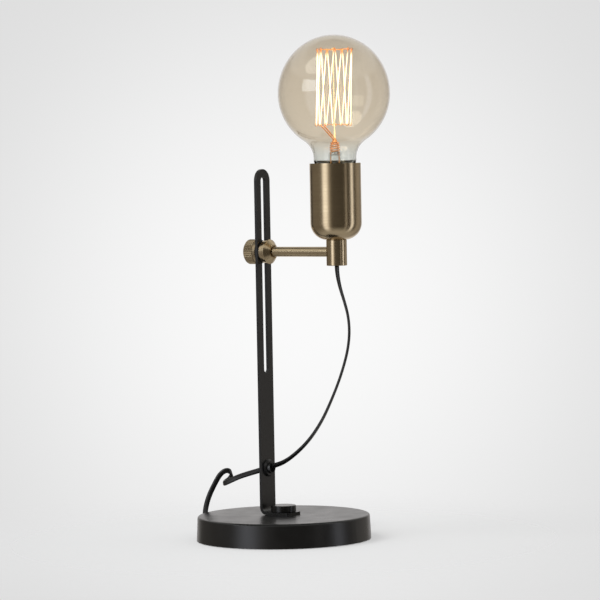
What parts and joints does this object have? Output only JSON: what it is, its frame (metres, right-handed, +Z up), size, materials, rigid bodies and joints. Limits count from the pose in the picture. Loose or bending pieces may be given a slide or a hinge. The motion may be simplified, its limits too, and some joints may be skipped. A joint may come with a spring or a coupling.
{
  "type": "table lamp",
  "caption": "Table lamp with a weighted disc base, a slotted upright bar, a sliding clamp arm, a brass cup and a bare globe bulb.",
  "frame": {"origin": "centre of the base's underside, on the table", "axes": "+Z up; the arm points along +X; +Y completes a right-handed frame, away from the side the lamp is seen from"},
  "size_m": [0.2346, 0.2272, 0.4329],
  "materials": {
    "black_coat": "satin powder coat",
    "cast_iron": "rough",
    "foam": "matt foam",
    "zinc_steel": "zinc plated",
    "black_gloss": "satin black",
    "black_rubber": "satin",
    "black_flex": "smooth sheath",
    "tie": "soft plastic band",
    "plug_black": "moulded",
    "nickel": "nickel plated",
    "antique_brass": "antique, finely brushed",
    "holder_moulding": "moulded thermoset",
    "bright_brass": "plain",
    "wire_insulation": "insulated core",
    "amber_glass": "amber tinted",
    "black_glass": "black glass",
    "solder": "solder",
    "clear_glass": "clear",
    "filament": "carbon filament, shown lit",
    "wire": "copper coated"
  },
  "bodies": {
    "base": {"base_cover": "black_coat", "base_weight": "cast_iron", "base_pad": "foam", "base_screw": "zinc_steel", "base_screw_washer": "zinc_steel", "upright_bar": "black_coat", "foot_cap_nut": "black_gloss", "cord_bush": "black_rubber", "flex_hang_low": "black_flex", "flex_rear": "black_flex", "flex_coil": "black_flex", "flex_tail": "black_flex", "coil_tie": "tie", "plug_body": "plug_black", "plug_pins": "nickel", "pin_sleeves": "plug_black", "plug_relief": "plug_black"},
    "carriage": {"front_washer": "black_gloss", "rear_washer": "black_gloss", "flex_hang_top": "black_flex"},
    "arm": {"clamp_collar": "antique_brass", "clamp_stud": "antique_brass", "arm_rod": "antique_brass", "arm_post": "antique_brass", "post_bush": "black_rubber", "lamp_cup": "antique_brass", "nipple": "zinc_steel", "nipple_nut": "zinc_steel", "holder_body": "holder_moulding", "holder_screw_shell": "bright_brass", "centre_contact": "bright_brass", "holder_terminals": "bright_brass", "terminal_screws": "bright_brass", "feed_wires": "wire_insulation"},
    "knob": {"clamp_knob": "antique_brass"},
    "bulb": {"bulb_glass": "amber_glass", "bulb_cap": "bright_brass", "cap_insulator": "black_glass", "cap_tip": "solder", "bulb_mount": "clear_glass", "filament": "filament", "support_wires": "wire", "lead_wires": "wire"}
  },
  "joints": [
    {"name": "arm_slide", "type": "slide", "parent": "base", "child": "carriage", "axis": [0, 0, 1], "range_m": [-0.1, 0.061], "deforming": ["flex_hang_low"]},
    {"name": "arm_turn", "type": "hinge", "parent": "carriage", "child": "arm", "pos_m": [0, 0, 0.2487], "axis": [1, 0, 0], "range_deg": [-90, 90], "deforming": ["flex_hang_top"]},
    {"name": "knob_turn", "type": "hinge", "parent": "arm", "child": "knob", "pos_m": [-0.025, 0, 0.2487], "axis": [1, 0, 0], "continuous": true},
    {"name": "bulb_lift", "type": "slide", "parent": "arm", "child": "bulb", "axis": [0, 0, 1], "range_m": [0, 0.045]}
  ]
}
